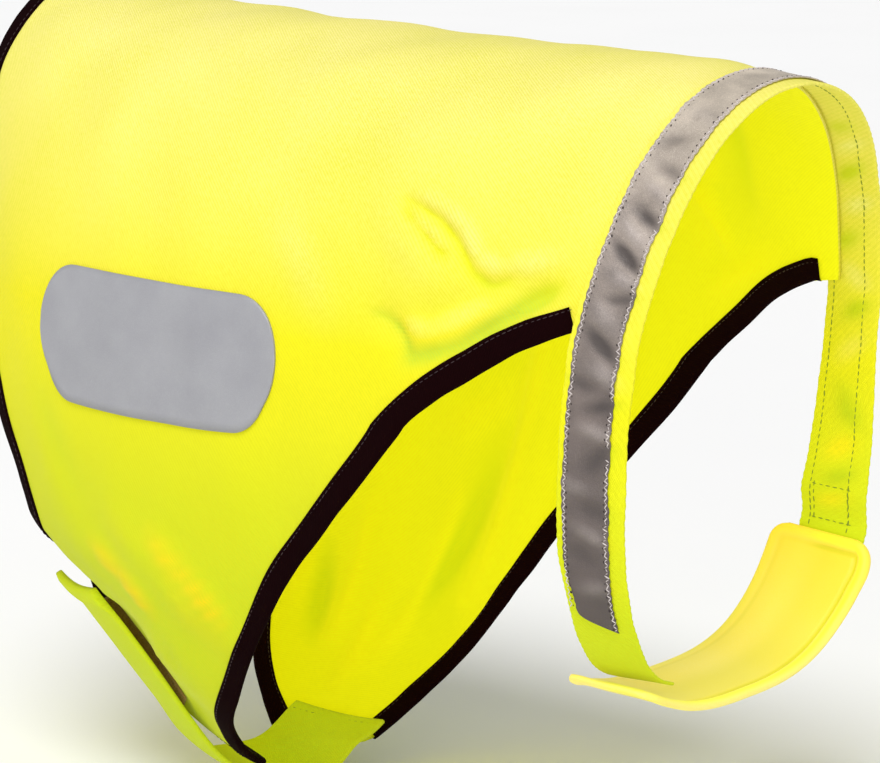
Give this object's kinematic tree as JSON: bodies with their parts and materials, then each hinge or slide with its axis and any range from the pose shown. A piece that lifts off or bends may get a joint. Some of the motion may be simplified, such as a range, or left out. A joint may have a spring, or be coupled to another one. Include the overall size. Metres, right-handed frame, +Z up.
{
  "type": "reflective dog vest",
  "caption": "High-visibility cloth dog vest in its worn, hollow form, with bound edges, a neck band with reflective tape, a neck closure pad and a belly strap.",
  "frame": {"origin": "on the inner face of the cloth, on the ridge of the back at the withers, where the wearer holds the vest up", "axes": "+X along the back towards the dog's head, +Y to the dog's left, +Z up"},
  "size_m": [0.4334, 0.2168, 0.3654],
  "materials": {
    "yellow_cloth": "fine woven fluorescent yellow cloth",
    "yellow_webbing": "fluorescent yellow webbing",
    "black_binding": "matte black bias binding",
    "reflective_tape": "silver-grey reflective tape, a soft metallic sheen",
    "reflective_patch": "silver-grey reflective film on cloth",
    "fastener_pad": "smooth padded yellow cloth",
    "fastener_pile": "brown fastener pile"
  },
  "bodies": {
    "root": {"saddle": "yellow_cloth", "edge_binding": "black_binding", "far_leg_binding": "black_binding", "neck_band": "yellow_webbing", "reflective_tape": "reflective_tape", "neck_closure_pad": "fastener_pad", "belly_strap": "yellow_webbing", "belly_fastener_pile": "fastener_pile", "reflective_patch": "reflective_patch"}
  },
  "joints": []
}
